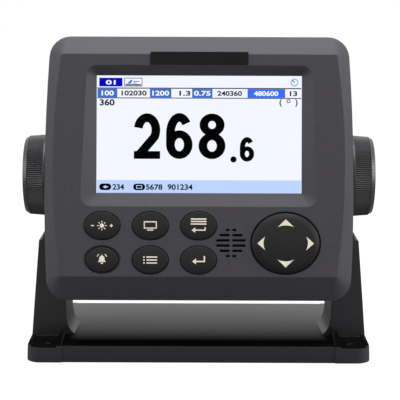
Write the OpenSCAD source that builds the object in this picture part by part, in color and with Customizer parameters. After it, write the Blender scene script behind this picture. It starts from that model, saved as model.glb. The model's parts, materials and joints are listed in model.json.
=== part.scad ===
// Display unit of a marine satellite compass on its tilting table bracket.
// Millimetres. Origin at the centre of the base's underside, X to the right, Y away from the
// viewer and Z up. The display's own parts are drawn in face coordinates: x to the right, y up
// the face, z out of the face, with zero on the hinge axis, and then leaned back on the bracket.

/* [Screen] */
// Width of the visible screen
screen_w = 95; // [88:0.5:104]
// Height of the visible screen
screen_h = 54.4; // [48:0.2:60]
// How far the glass reaches past the visible screen on each side
window_lap = 3; // [2:0.1:4]
// Thickness of the window
window_t = 1.5; // [1:0.1:2.5]
// How far the liquid crystal cell reaches past the visible screen at the sides
cell_side = 4.5; // [3.5:0.1:6]
// How far the cell reaches past the visible screen at the top
cell_top = 3.5; // [2.5:0.1:4]
// How far the cell reaches past the visible screen at the bottom
cell_bottom = 7.6; // [6:0.1:8]
// Thickness of the liquid crystal cell
cell_t = 1.8; // [1.2:0.1:3]
// Thickness of the backlight
backlight_t = 2.4; // [2:0.1:4]

/* [Screen recess] */
// Width of the slope above the screen
recess_top = 4.3; // [3:0.1:6]
// Width of the slope below the screen
recess_bottom = 6.2; // [4:0.1:8]
// Width of the side slopes at their upper end
recess_side_top = 4.3; // [3:0.1:6]
// Width of the side slopes at their lower end
recess_side_bottom = 7.2; // [5:0.1:9]
// Depth of the screen's edge below the face
recess_depth = 3.7; // [2.5:0.1:4.2]
// Corner radius of the recess on the face
recess_r = 5; // [2:0.5:7]

/* [Bezel] */
// Distance of the face in front of the hinge axis
face_to_axis = 39; // [36:0.5:46]
// Distance from the face's upper edge down to the hinge axis
axis_drop = 54.9; // [48:0.1:62]
// Flat face above the recess
face_top_margin = 5.1; // [3:0.1:8]
// Flat face beside the recess at its widest
face_side_margin = 12.5; // [9:0.1:16]
// How much narrower the face is at its ends than in its middle
face_sag = 4; // [0:0.1:6]
// Width of the bevel above the face
bevel_top = 9; // [6:0.1:12]
// Width of the bevel beside the middle of the face
bevel_side = 4.8; // [3.5:0.1:8]
// Width of the bevel below the face
bevel_bottom = 11.5; // [8:0.1:14]
// Depth of the bevels
bevel_depth = 8; // [6:0.1:10]
// Depth of the upright band behind the bevels
band_depth = 4; // [2:0.1:6]
// Depth of the skirt behind the band
skirt_depth = 9.5; // [8:0.1:12]
// How far the skirt draws in on each side
skirt_taper = 1.5; // [0.5:0.1:2.5]
// How far the outline's sides draw in, half its height away from their widest place
body_sag = 2.1; // [0:0.1:2.6]
// How far that widest place lies below the outline's middle
body_bow_drop = 10.5; // [0:0.5:12]
// Corner radius of the outline
body_r = 10; // [8:0.1:11]
// Wall thickness of the mouldings
wall = 2.5; // [2:0.1:3]

/* [Keys] */
// Width of a key opening against the screen's width
key_w_share = 0.18; // [0.15:0.005:0.19]
// Height of a key opening
key_h = 13.5; // [11:0.1:14]
// Distance between key columns against the screen's width
key_pitch_share = 0.2337; // [0.2277:0.0005:0.2497]
// Distance between key rows
key_pitch_y = 15.7; // [15.4:0.1:19]
// Distance of the first key column inside the screen's left edge, against the screen's width
key_inset_share = 0.0316; // [0.0116:0.001:0.0606]
// Face between the recess and the upper key row
key_top_gap = 2.15; // [1.8:0.05:5]
// Face between the lower key row and the bevel
key_bottom_gap = 0.95; // [0.9:0.05:4]
// Gap round each key
key_gap = 0.35; // [0.3:0.05:0.6]
// How far a key stands proud of the face
key_proud = 0.8; // [0.4:0.1:1.5]
// Stroke of a key
key_travel = 1; // [0.6:0.1:1.2]
// Size of the dished key against the others
dished_key_share = 0.91; // [0.85:0.01:0.95]
// Depth of the dish round that key
dish_depth = 0.7; // [0.3:0.1:1]

/* [Cursor pad] */
// Width of the pad's opening against the screen's width
pad_w_share = 0.3432; // [0.2952:0.001:0.3552]
// Distance of the pad's centre inside the screen's right edge, against the screen's width
pad_inset_share = 0.08; // [0.065:0.005:0.09]
// Gap round the pad
pad_gap = 0.75; // [0.6:0.05:1]
// How far the pad's rim stands proud of the face
pad_proud = 0.5; // [0.3:0.1:1]
// Width of the sloping rim of the pad
pad_rim = 2.2; // [1:0.1:3]
// Rise of the flat middle of the pad above its rim
pad_rise = 0.9; // [0.4:0.1:1.5]

/* [Buzzer] */
// Distance of the buzzer right of the last key column, against the screen's width
buzzer_step_share = 0.1568; // [0.1538:0.001:0.1668]
// Diameter of the buzzer against the screen's width
buzzer_d_share = 0.1263; // [0.0963:0.001:0.1313]
// Height of one sound slot
slot_h = 1.15; // [0.8:0.05:1.5]
// Distance between sound slots
slot_pitch = 2.4; // [2:0.05:2.8]

/* [Name plate] */
// Width of the plain plate above the screen
plate_w = 44.8; // [30:0.1:70]
// Height of the plate
plate_h = 5.7; // [4:0.1:6]
// Thickness of the plate
plate_t = 1.8; // [1.4:0.1:2.2]
// How far the plate stands proud of the face
plate_proud = 0.5; // [0.2:0.1:0.8]
// How far the plate reaches above the face's upper edge
plate_rise = 1.1; // [0:0.1:2]

/* [Rear housing] */
// Depth of the housing behind the skirt
housing_depth = 44.5; // [38:0.5:52]
// How far the housing is set in at the sides
housing_side_inset = 10.5; // [10.2:0.1:14]
// How far the housing is set in at the top and bottom
housing_end_inset = 4.7; // [4.4:0.1:8]
// How far the housing's walls draw in towards the back
housing_draft = 2; // [0.5:0.1:4]
// Corner radius of the housing
housing_r = 10; // [9:0.5:12]
// Thickness of the flange that closes the skirt
flange_t = 2.5; // [2:0.1:3]

/* [Hinge] */
// Lean of the display at rest, in degrees
rest_lean = 10; // [0:1:20]
// Diameter of the hinge bosses
boss_d = 26; // [22:0.5:30]
// Height of the hinge bosses
boss_h = 3.5; // [2:0.1:6]
// Thickness of the friction washers
friction_t = 1.4; // [0.8:0.1:2.5]
// Thread diameter of the knob bolts
bolt_d = 8; // [6:0.5:9]
// Reach of the bolt into the housing's insert
bolt_reach = 10; // [7:0.5:13]
// Diameter of the knobs at their inner rim
knob_d = 39.7; // [32:0.1:46]
// Length of the knobs
knob_len = 10.5; // [8:0.1:14]
// How much the knobs draw in towards their outer end, on the radius
knob_draft = 0.65; // [0.2:0.05:1.5]
// Number of ribs round a knob
rib_count = 120; // [60:2:140]
// Depth of the ribs
rib_depth = 0.45; // [0.3:0.05:0.8]
// Thickness of the steel washer under each knob
washer_t = 0.9; // [0.5:0.1:2]

/* [Bracket] */
// Front to back size of the base
base_d = 83; // [79:1:113]
// Thickness of the base
base_t = 8; // [6.5:0.1:10.5]
// Corner radius of the base
base_r = 7; // [3:0.5:8]
// How far the hinge axis stands in front of the base's middle
hinge_forward = 6; // [0:0.5:8]
// Room left between the base and the swinging display
swing_room = 9.9; // [8:0.1:30]
// How far the base reaches outside the arms' clamping faces
foot_spread = 15.3; // [13:0.1:20]
// Thickness of the upper arms
arm_t = 6; // [5:0.1:8]
// Depth of the arms at their root, in front of the hinge axis
arm_front = 14; // [13.8:0.1:15]
// Depth of the arms at their root, behind the hinge axis
arm_rear = 7.3; // [6:0.1:14]
// Radius of the arms' heads
head_r = 12.5; // [11:0.1:13]
// Diameter of the base's screw holes
hole_d = 4.2; // [3.5:0.1:6]
// Distance of the screw holes inside the front and rear edges
hole_edge = 7.5; // [6:0.1:10]
// Distance of the screw holes outside the arms' clamping faces
hole_out = 6.7; // [5:0.1:8]

/* [Connectors] */
// Outer diameter of the connector shells
shell_d = 17; // [14:0.5:20]
// Wall of the connector shells
shell_wall = 1.7; // [1.5:0.1:2.2]
// How far the connectors stand out of the back
shell_len = 14; // [10:0.5:18]
// Distance between the two connectors
shell_pitch = 34; // [30:1:40]
// Distance of the connectors below the hinge axis
shell_drop = 26; // [22:0.5:32]
// Diameter of the ground stud
stud_d = 4; // [3:0.5:5]

/* [Hidden] */

$fn = 64;
// Overrun of every cut past the surface that it leaves
over = 1;
// Clearance between pieces that are pressed or screwed into each other
fit = 0.05;
// Clearance between flat faces that slide on each other
slide = 0.1;
// Steps round each rounded corner and along each bowed side
corner_steps = 6;
side_steps = 8;

// Sheet and screw sizes that several parts share
gasket_t = 0.5;
board_t = 1.6;
screw_d = 2.5;
screw_head_d = 4.6;
screw_head_t = 1.7;
screw_room = 0.2;

// Heights on the face, from the top down
face_top = axis_drop;
body_top = face_top + bevel_top;
recess_top_y = face_top - face_top_margin;
screen_top = recess_top_y - recess_top;
screen_bottom = screen_top - screen_h;
recess_bottom_y = screen_bottom - recess_bottom;
key_row_y = [recess_bottom_y - key_top_gap - key_h / 2,
             recess_bottom_y - key_top_gap - key_h / 2 - key_pitch_y];
face_bottom = key_row_y[1] - key_h / 2 - key_bottom_gap;
body_bottom = face_bottom - bevel_bottom;

// Widths on the face
face_half = screen_w / 2 + recess_side_bottom + face_side_margin;
body_half = face_half + bevel_side;
key_w = screen_w * key_w_share;
key_pitch_x = screen_w * key_pitch_share;
key_inset = screen_w * key_inset_share;
key_col_x = [for (i = [0:2]) key_inset - screen_w / 2 + i * key_pitch_x];
pad_w = screen_w * pad_w_share;
pad_x = screen_w / 2 - screen_w * pad_inset_share;
pad_y = (key_row_y[0] + key_row_y[1]) / 2;
pad_h = key_pitch_y + key_h;
buzzer_x = key_col_x[2] + screen_w * buzzer_step_share;
buzzer_d = screen_w * buzzer_d_share;

// Depths through the display, from the face back
face_z = face_to_axis;
band_z = face_z - bevel_depth;
skirt_z = band_z - band_depth;
rear_z = skirt_z - skirt_depth;
face_back_z = face_z - wall;
lip_t = 1.3;
lip_z = face_z - recess_depth - lip_t;
window_z = lip_z - gasket_t - window_t;
cell_gasket_t = 0.6;
frame_t = 0.5;
frame_z = window_z - cell_gasket_t;
cell_z = frame_z - frame_t - cell_t;
backlight_z = cell_z - backlight_t;
frame_back_z = backlight_z - frame_t;
holder_t = 2;
holder_z = frame_back_z - holder_t;
main_gap = 4.6;
main_z = holder_z - main_gap - board_t;
ledge_z = rear_z + flange_t;
back_z = rear_z - housing_depth;
back_in_z = back_z + wall;

// Key works behind the face
switch_h = 0.8;
switch_d = 5;
plunger_d = 4;
plunger_h = 1;
key_flange = 1;
key_flange_t = 1.2;
key_flange_gap = 0.3;
key_flange_z = face_back_z - key_flange_gap - key_flange_t;
plunger_z = key_flange_z - plunger_h;
switch_top_z = plunger_z - key_travel - slide;
key_board_z = switch_top_z - switch_h - board_t;
key_board_front = key_board_z + board_t;
pad_flange_gap = 0.9;
pad_flange_z = face_back_z - pad_flange_gap - key_flange_t;
pivot_d = 3.8;
pivot_stem_d = 2.4;
pivot_z = key_board_front + pivot_d / 2 + fit;
nub_share = 0.61;
membrane_t = 0.3;

// Rear housing
housing_half = body_half - housing_side_inset;
housing_top = body_top - housing_end_inset;
housing_bottom = body_bottom + housing_end_inset;
skirt_in = skirt_taper + wall + fit;
corner_shrink = 1.3;
seal_w = 1.4;
seal_t = 1;
seal_inset = 0.2;
insert_d = 4.2;
insert_wall = 1.2;
rear_screw_d = 3;
rear_head_d = 5;
rear_head_t = 2;
screw_in_x = 5.65;
screw_in_y = 3.45;
screw_x = body_half - skirt_in - screw_in_x;
screw_top = body_top - skirt_in - screw_in_y;
screw_bottom = body_bottom + skirt_in + screw_in_y;
screw_places = [for (x = [-screw_x, screw_x], y = [screw_bottom, screw_top]) [x, y]];

// Inner carriers
key_boss_d = 5;
boss_room = 0.3;
corner_boss_x = 1.3;
corner_boss_y = 1.1;
key_board_bosses = [[(key_col_x[0] + key_col_x[1]) / 2, pad_y],
                    [(key_col_x[1] + key_col_x[2]) / 2, pad_y],
                    [pad_x + pad_w / 2 - corner_boss_x, pad_y - pad_h / 2 + corner_boss_y],
                    [pad_x + pad_w / 2 - corner_boss_x, pad_y + pad_h / 2 - corner_boss_y]];
frame_half = screen_w / 2 + cell_side + frame_t;
frame_bottom = screen_bottom - cell_bottom - frame_t;
holder_x = frame_half + key_boss_d / 2 + boss_room;
holder_in = 7;
holder_places = [for (x = [-holder_x, holder_x], y = [screen_bottom + holder_in, screen_top - holder_in])
                     [x, y]];
lug_rim = 0.8;
lug_r = key_boss_d / 2 + lug_rim;
main_in = 3;
main_half = frame_half - main_in;
main_top_in = 2;
main_top = screen_top - main_top_in;
main_reach = 15;
main_bottom = frame_bottom - main_reach;
main_screw_in = 4;
main_screw_drop = 11;
main_places = [for (x = [main_screw_in - main_half, main_half - main_screw_in],
                    y = [screen_bottom, screen_top - main_screw_drop]) [x, y]];
power_side = 6;
power_above = 4;
power_below = 2;
power_screw_in = 3;
power_half = shell_pitch / 2 + shell_d / 2 + power_side;
power_top = shell_d / 2 + power_above - shell_drop;
power_bottom = -shell_drop - shell_d / 2 - power_below;
power_gap = 5;
power_z = back_in_z + power_gap;
power_places = [for (x = [power_screw_in - power_half, power_half - power_screw_in]) [x, -shell_drop]];
ribbon_w = 16;
ribbon_t = 0.3;

plate_y = face_top + plate_rise - plate_h;

// Connectors, behind the back wall; the stud's shank has its thread's mean diameter
stud_out = 9;
stud_shank_d = stud_d * 0.9;
stud_nut_t = stud_d * 0.8;
shell_bore = shell_d - 2 * shell_wall;
neck_step = 5;
neck_d = shell_d - neck_step;
flange_extra = 3;
shell_flange_t = 2;
connector_seal_t = 1;
socket_wall = 2;
pin_d = 1.2;
pin_out = 5;
nut_t = 2.5;
neck_past = 1;
neck_end_z = back_in_z + nut_t + neck_past;
shell_flange_z = back_z - connector_seal_t;
shell_end_z = back_z - shell_len;
contacts_z = shell_flange_z - socket_wall;

// Hinge, from the housing outwards
boss_x = housing_half + boss_h;
arm_in = boss_x + friction_t + slide;
arm_out = arm_in + arm_t;
washer_x = arm_out + slide;
knob_x = washer_x + washer_t;
insert_x = boss_x - bolt_reach;
insert_wall_t = 2.5;
bolt_head_t = 5;
bolt_head_d = bolt_d * 1.8;
knob_r = knob_d / 2;
knob_end_x = knob_x + knob_len;
knob_chamfer_x = 2;
knob_chamfer_r = 1.2;
knob_rim = 0.8;
rib_step = 0.1;
knob_dish_r = 13;
knob_dish = 0.8;

// Bracket
display_reach = sqrt(body_bottom * body_bottom + band_z * band_z);
hinge_z = base_t + display_reach + swing_room;
hinge_y = -hinge_forward;
base_half = arm_in + foot_spread;
side_gap = 1.1;
lower_in = housing_half + side_gap;
arm_turn = 1.9;
shoulder_step = 4.8;
upper_step = 3.4;
shoulder_drop = 10.2;
shoulder_out = arm_out + shoulder_step;
upper_out = arm_out + upper_step;
shoulder_z = hinge_z - knob_r - shoulder_drop;
slope_z = hinge_z - knob_r - side_gap;
neck_low_drop = 18;
neck_high_drop = 10;
neck_low_z = hinge_z - boss_d / 2 - neck_low_drop;
neck_high_z = hinge_z - boss_d / 2 - neck_high_drop;
bend_rise = 15;
root_fillet_w = 5.2;
root_fillet_h = 11;
head_rise = 11.5;
head_corner_r = 5.5;
slot_room = 0.6;
slot_w = bolt_d + slot_room;
slot_lead = 2;
foot_step = 0.4;
foot_x = lower_in + arm_turn + foot_step;
foot_proud = 0.6;
fin_step = 0.2;
fin_x = foot_x + fin_step;
fin_w = 2.3;
fin_h = 4.4;
pocket_drop = 0.8;
pocket_rim = 1.2;
hole_x = arm_in + hole_out;
hole_y = base_d / 2 - hole_edge;
arm_front_y = hinge_y - arm_front;
arm_rear_y = hinge_y + arm_rear;
core_wall = 3;
core_rib = 2;
core_roof = 2.8;
core_columns = 10;
core_rows = 6;

// Colours
charcoal = [0.27, 0.27, 0.29];
dark = [0.17, 0.17, 0.18];
black = [0.06, 0.06, 0.06];
key_grey = [0.2, 0.2, 0.2];
steel = [0.72, 0.73, 0.75];
brass = [0.78, 0.62, 0.3];
board_green = [0.08, 0.35, 0.2];

// Puts the display's parts on the hinge axis and leans them back
module on_hinge() {
    translate([0, hinge_y, hinge_z])
        rotate([90 - rest_lean, 0, 0])
            children();
}

// Repeats a right-hand part on the left
module sided(side) {
    if (side > 0) children();
    else mirror([1, 0, 0]) children();
}

// Half width of a bowed side at height y
function bowed(half, sag, mid, span, y) = half - sag * pow((y - mid) / span, 2);
// Angle of that side's outward normal
function bowed_angle(sag, mid, span, y) = atan(2 * sag * (y - mid) / pow(span, 2));

// Right half of an outline whose sides bow outwards, widest at a drop below its middle, from the
// bottom up
function barrel_side(half, sag, top, bottom, r, drop) =
    let (mid = (top + bottom) / 2 - drop, span = (top - bottom) / 2,
         a_b = -bowed_angle(sag, mid, span, bottom + r), a_t = bowed_angle(sag, mid, span, top - r),
         y_b = bottom + r * (1 - sin(a_b)), y_t = top - r * (1 - sin(a_t)),
         x_b = bowed(half, sag, mid, span, y_b) - r * cos(a_b),
         x_t = bowed(half, sag, mid, span, y_t) - r * cos(a_t))
    concat([for (i = [0:corner_steps]) let (q = -90 + (90 - a_b) * i / corner_steps)
                [x_b + r * cos(q), bottom + r + r * sin(q)]],
           [for (i = [1:side_steps - 1]) let (y = y_b + (y_t - y_b) * i / side_steps)
                [bowed(half, sag, mid, span, y), y]],
           [for (i = [0:corner_steps]) let (q = a_t + (90 - a_t) * i / corner_steps)
                [x_t + r * cos(q), top - r + r * sin(q)]]);

// Whole outline, anticlockwise
function barrel(half, sag, top, bottom, r, drop = 0) =
    let (right = barrel_side(half, sag, top, bottom, r, drop), n = len(right))
    concat(right, [for (i = [n - 1:-1:0]) [-right[i].x, right[i].y]]);

// Outline of an upright trapezium with rounded corners, anticlockwise
function tapered_frame(half_top, half_bottom, top, bottom, r) =
    let (tilt = atan((half_bottom - half_top) / (top - bottom)),
         x_b = half_bottom - r * tan(45 + tilt / 2), x_t = half_top - r * tan(45 - tilt / 2),
         right = concat([for (i = [0:corner_steps]) let (q = -90 + (90 + tilt) * i / corner_steps)
                             [x_b + r * cos(q), bottom + r + r * sin(q)]],
                        [for (i = [0:corner_steps]) let (q = tilt + (90 - tilt) * i / corner_steps)
                             [x_t + r * cos(q), top - r + r * sin(q)]]),
         n = len(right))
    concat(right, [for (i = [n - 1:-1:0]) [-right[i].x, right[i].y]]);

// Solid through a stack of outlines with equal numbers of points, given from the back forwards
module loft(outlines, depths) {
    n = len(outlines[0]);
    last = len(outlines) - 1;
    points = [for (k = [0:last]) for (p = outlines[k]) [p.x, p.y, depths[k]]];
    sides = [for (k = [0:last - 1]) for (i = [0:n - 1])
                 let (j = (i + 1) % n, a = k * n + i, b = k * n + j)
                 each [[a, a + n, b + n], [a, b + n, b]]];
    ends = [[for (i = [0:n - 1]) i], [for (i = [n - 1:-1:0]) last * n + i]];
    polyhedron(points, concat(sides, ends), convexity = 6);
}

function ellipse(w, h, steps = 48) =
    [for (i = [0:steps - 1]) let (q = 360 * i / steps) [w / 2 * cos(q), h / 2 * sin(q)]];

// Flat slab between two depths
module slab(x0, x1, y0, y1, z0, z1) {
    translate([x0, y0, z0])
        cube([x1 - x0, y1 - y0, z1 - z0]);
}

module post(d, x, y, z0, z1) {
    translate([x, y, z0])
        cylinder(d = d, h = z1 - z0);
}

module ellipse_post(w, h, z0, z1) {
    translate([0, 0, z0])
        linear_extrude(z1 - z0)
            polygon(ellipse(w, h));
}

// Bar along the X axis, for the hinge parts
module axle(d, x0, x1) {
    translate([x0, 0, 0])
        rotate([0, 90, 0])
            cylinder(d = d, h = x1 - x0);
}

module axle_tube(d, bore, x0, x1) {
    difference() {
        axle(d, x0, x1);
        axle(bore, x0 - over, x1 + over);
    }
}

function housing_outline(inset) =
    barrel(housing_half - inset, 0, housing_top - inset, housing_bottom + inset, housing_r - inset / 2);
function skirt_outline(inset) =
    barrel(body_half - inset, body_sag, body_top - inset, body_bottom + inset,
           body_r - inset * corner_shrink, body_bow_drop);

// Outer form of the bezel, from the rear rim to the face
module bezel_form() {
    soft = 0.5;
    loft([skirt_outline(skirt_taper), skirt_outline(0), skirt_outline(0),
          barrel(face_half + soft, face_sag, face_top + soft, face_bottom - soft, soft * 3),
          barrel(face_half, face_sag, face_top, face_bottom, soft * 2)],
         [rear_z, skirt_z, band_z, face_z - soft / 2, face_z]);
}

// Hollow of the bezel
module bezel_hollow() {
    loft([skirt_outline(skirt_taper + wall), skirt_outline(wall), skirt_outline(wall),
          barrel(face_half - wall / 2, face_sag, face_top - wall / 2, face_bottom + wall / 2, wall)],
         [rear_z - over, skirt_z, band_z - wall / 2, face_back_z]);
}

// Sloping recess round the screen, and the window behind it
module recess_cut() {
    slope = over / recess_depth;
    tight = 0.5;
    loft([tapered_frame(screen_w / 2, screen_w / 2, screen_top, screen_bottom, tight),
          tapered_frame(screen_w / 2 + recess_side_top, screen_w / 2 + recess_side_bottom,
                        recess_top_y, recess_bottom_y, recess_r),
          tapered_frame(screen_w / 2 + recess_side_top * (1 + slope),
                        screen_w / 2 + recess_side_bottom * (1 + slope),
                        recess_top_y + recess_top * slope, recess_bottom_y - recess_bottom * slope,
                        recess_r * (1 + slope))],
         [face_z - recess_depth, face_z, face_z + over]);
    slab(-screen_w / 2, screen_w / 2, screen_bottom, screen_top, rear_z, face_z - recess_depth + fit);
}

// Flat bar with round ends
module slot_bar(x0, x1, h) {
    translate([x0 + h / 2, -h / 2])
        square([x1 - x0 - h, h]);
    for (x = [x0 + h / 2, x1 - h / 2])
        translate([x, 0])
            circle(d = h, $fn = 24);
}

// Pairs of sound slots, longest in the middle
module sound_slots() {
    reach = buzzer_d * 0.571;
    reach_share = [0.36, 0.78, 1, 1, 0.78, 0.36];
    web = 1.06;
    rows = len(reach_share);
    for (row = [0:rows - 1], side = [0, 1])
        translate([buzzer_x, pad_y + (row - (rows - 1) / 2) * slot_pitch, face_back_z - over])
            mirror([side, 0, 0])
                linear_extrude(wall + 2 * over)
                    slot_bar(web / 2, reach * reach_share[row], slot_h);
}

// The lower left key is smaller and lies in a dish of the common size
function key_share(column, row) = column == 0 && row == 1 ? dished_key_share : 1;

module key_opening(column, row) {
    share = key_share(column, row);
    translate([key_col_x[column], key_row_y[row], 0]) {
        ellipse_post(key_w * share, key_h * share, face_back_z - over, face_z + over);
        // Pocket for the key's flange where the bevel's wall comes near
        ellipse_post(key_w * share + 2 * key_flange + 2 * key_gap,
                     key_h * share + 2 * key_flange + 2 * key_gap,
                     key_flange_z - key_travel - slide, face_back_z);
        if (share < 1) ellipse_post(key_w, key_h, face_z - dish_depth, face_z + over);
    }
}

module front_bezel() {
    color(charcoal) on_hinge() difference() {
        union() {
            difference() {
                bezel_form();
                bezel_hollow();
            }
            // Block behind the recess, with the lip that holds the window
            slab(-screen_w / 2 - recess_side_bottom - wall / 2, screen_w / 2 + recess_side_bottom + wall / 2,
                 recess_bottom_y - key_flange / 2, recess_top_y + wall / 2, lip_z, face_back_z + fit);
            // Ledge that the rear housing's flange seats on
            difference() {
                loft([skirt_outline(skirt_taper + fit), skirt_outline(skirt_taper + fit)],
                     [ledge_z, ledge_z + wall]);
                loft([housing_outline(wall), housing_outline(wall)], [ledge_z - over, ledge_z + wall + over]);
            }
            for (p = key_board_bosses) post(key_boss_d, p.x, p.y, key_board_front, face_back_z + fit);
            for (p = holder_places) post(key_boss_d, p.x, p.y, frame_back_z, face_back_z + fit);
            for (p = screw_places) post(insert_d + 2 * insert_wall, p.x, p.y, ledge_z, band_z);
        }
        recess_cut();
        sound_slots();
        for (column = [0:2], row = [0:1]) key_opening(column, row);
        translate([pad_x, pad_y, 0]) {
            ellipse_post(pad_w, pad_h, face_back_z - over, face_z + over);
            // Room for the pad's flange as it rocks
            ellipse_post(pad_w + 2 * key_flange + 2 * key_gap, pad_h + 2 * key_flange + 2 * key_gap,
                         pad_flange_z - over, face_back_z);
        }
        slab(-plate_w / 2 - fit, plate_w / 2 + fit, plate_y - fit, plate_y + plate_h + fit,
             face_z + plate_proud - plate_t, face_z + over);
        for (p = key_board_bosses) post(screw_d, p.x, p.y, key_board_front - over, face_back_z - fit);
        for (p = holder_places) post(screw_d, p.x, p.y, frame_back_z - over, face_back_z - fit);
        for (p = screw_places) post(insert_d + 2 * fit, p.x, p.y, ledge_z - over, band_z - wall);
    }
}

// Closed band that seals the two housing halves
module seal_ring(room) {
    difference() {
        polygon(housing_outline(seal_inset + room));
        polygon(housing_outline(seal_inset + seal_w - room));
    }
}

// Tub with drafted walls, a flange inside the skirt and the two hinge bosses
module rear_housing() {
    back_r = housing_r / 2;
    insert_bore = bolt_d + 2 * insert_wall_t + 2 * fit;
    color(charcoal) on_hinge() difference() {
        union() {
            loft([housing_outline(housing_draft + back_r), housing_outline(housing_draft + back_r / 4),
                  housing_outline(housing_draft), housing_outline(0)],
                 [back_z, back_z + back_r / 4, back_z + back_r, rear_z + fit]);
            loft([skirt_outline(skirt_in), skirt_outline(skirt_in)], [rear_z, ledge_z]);
            for (side = [-1, 1]) sided(side) axle(boss_d, housing_half - 2 * wall, boss_x);
        }
        difference() {
            loft([housing_outline(housing_draft + back_r), housing_outline(housing_draft + wall),
                  housing_outline(wall)],
                 [back_in_z, back_in_z + back_r / 2, ledge_z + over]);
            // Hubs round the knob inserts, and posts of the power board
            for (side = [-1, 1]) sided(side) axle(boss_d - 2 * wall, insert_x - 2 * wall, body_half);
            for (p = power_places) post(key_boss_d, p.x, p.y, back_z, power_z);
        }
        for (side = [-1, 1]) sided(side) axle(insert_bore, insert_x, boss_x + over);
        for (p = power_places) post(screw_d, p.x, p.y, back_in_z, power_z + over);
        for (p = screw_places) post(rear_screw_d + screw_room, p.x, p.y, rear_z - over, ledge_z + over);
        for (x = [-shell_pitch / 2, shell_pitch / 2])
            post(neck_d + 2 * fit, x, -shell_drop, back_z - over, back_in_z + over);
        post(stud_shank_d + 2 * fit, 0, -shell_drop, back_z - over, back_in_z + over);
        translate([0, 0, ledge_z - seal_t])
            linear_extrude(over + seal_t)
                seal_ring(0);
    }
}

module housing_seal() {
    color(black) on_hinge()
        translate([0, 0, ledge_z - seal_t])
            linear_extrude(seal_t)
                seal_ring(fit);
}

// Rectangular ring round the screen
module screen_ring(outer, inner, z0, z1) {
    difference() {
        slab(-screen_w / 2 - outer, screen_w / 2 + outer, screen_bottom - outer, screen_top + outer, z0, z1);
        slab(-screen_w / 2 - inner, screen_w / 2 + inner, screen_bottom - inner, screen_top + inner,
             z0 - over, z1 + over);
    }
}

module window_gasket() {
    color(black) on_hinge() screen_ring(window_lap, gasket_t, window_z + window_t, lip_z);
}

module display_window() {
    color([0.8, 0.85, 0.95, 0.5]) on_hinge()
        slab(-screen_w / 2 - window_lap, screen_w / 2 + window_lap,
             screen_bottom - window_lap, screen_top + window_lap, window_z, window_z + window_t);
}

module cell_gasket() {
    color(black) on_hinge() screen_ring(window_lap, 2 * gasket_t, frame_z, window_z);
}

// Slab of the cell's size, grown by the frame's wall where asked
module cell_slab(grow, z0, z1) {
    slab(-screen_w / 2 - cell_side - grow, screen_w / 2 + cell_side + grow,
         screen_bottom - cell_bottom - grow, screen_top + cell_top + grow, z0, z1);
}

module lcd_cell() {
    color([0.93, 0.95, 1]) on_hinge() cell_slab(0, cell_z, cell_z + cell_t);
}

module backlight() {
    color([0.85, 0.85, 0.85]) on_hinge() cell_slab(0, backlight_z, cell_z);
}

// Sheet metal can round the cell and the backlight
module lcd_frame() {
    rim = 1.2;
    color(steel) on_hinge() difference() {
        cell_slab(frame_t, frame_back_z, frame_z);
        cell_slab(fit, backlight_z, frame_z - frame_t);
        slab(-screen_w / 2 - rim, screen_w / 2 + rim, screen_bottom - rim, screen_top + rim,
             cell_z, frame_z + over);
        // Gap for the ribbon's tail
        slab(-ribbon_w / 2 - fit, ribbon_w / 2 + fit, frame_bottom - over, frame_bottom + over,
             cell_z, cell_z + ribbon_t + fit);
    }
}

// Moulded tray behind the screen, screwed to the bezel and carrying the main board
module lcd_holder() {
    color(dark) on_hinge() difference() {
        union() {
            cell_slab(frame_t, holder_z, frame_back_z);
            for (p = holder_places) {
                post(2 * lug_r, p.x, p.y, holder_z, frame_back_z);
                slab(min(p.x, 0), max(p.x, 0), p.y - lug_r, p.y + lug_r, holder_z, frame_back_z);
            }
            for (p = main_places) post(key_boss_d, p.x, p.y, main_z + board_t, holder_z + fit);
        }
        for (p = holder_places) post(screw_d + screw_room, p.x, p.y, holder_z - over, frame_back_z + over);
        for (p = main_places) post(screw_d, p.x, p.y, main_z, holder_z + fit);
        // Weight-saving windows between the ribs of the tray
        for (x = [-2:1])
            slab(x * frame_half / 2.2 + wall, (x + 1) * frame_half / 2.2 - wall,
                 screen_bottom + 3 * wall, screen_top - 4 * wall,
                 holder_z - over, frame_back_z - holder_t / 2);
    }
}

// Flat cable that turns back from the cell's lower edge to the main board
module lcd_ribbon() {
    tail = 1.6;
    color(brass) on_hinge() {
        slab(-ribbon_w / 2, ribbon_w / 2, frame_bottom - tail, frame_bottom + frame_t,
             cell_z, cell_z + ribbon_t);
        slab(-ribbon_w / 2, ribbon_w / 2, frame_bottom - tail - ribbon_t, frame_bottom - tail,
             main_z + board_t, cell_z + ribbon_t);
    }
}

module key_ribbon() {
    x0 = key_col_x[0] + key_w / 2;
    color(brass) on_hinge()
        slab(x0 - ribbon_w / 2, x0 + ribbon_w / 2,
             key_row_y[0] - plunger_d - ribbon_t, key_row_y[0] - plunger_d, main_z + board_t, key_board_z);
}

module main_ribbon() {
    color(brass) on_hinge()
        slab(-ribbon_w / 2, ribbon_w / 2, power_top - 2 * wall, power_top - 2 * wall + ribbon_t,
             power_z + board_t, main_z);
}

// Rubber mat on the key board, with a collar under each key
module key_sheet() {
    sheet_t = 0.6;
    collar = 1;
    color(black) on_hinge() difference() {
        union() {
            slab(key_col_x[0] - key_w / 2, key_col_x[2] + key_w / 2 - 2 * collar,
                 key_row_y[1] - key_h / 2, key_row_y[0] + key_h / 3,
                 key_board_front, key_board_front + sheet_t);
            for (x = key_col_x, y = key_row_y)
                post(switch_d + 4 * collar, x, y, key_board_front, key_flange_z - key_travel - slide);
        }
        for (x = key_col_x, y = key_row_y)
            post(switch_d + 2 * collar, x, y, key_board_front - over, key_flange_z);
        for (i = [0, 1])
            post(key_boss_d + collar, key_board_bosses[i].x, key_board_bosses[i].y,
                 key_board_front - over, key_flange_z);
    }
}

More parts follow.
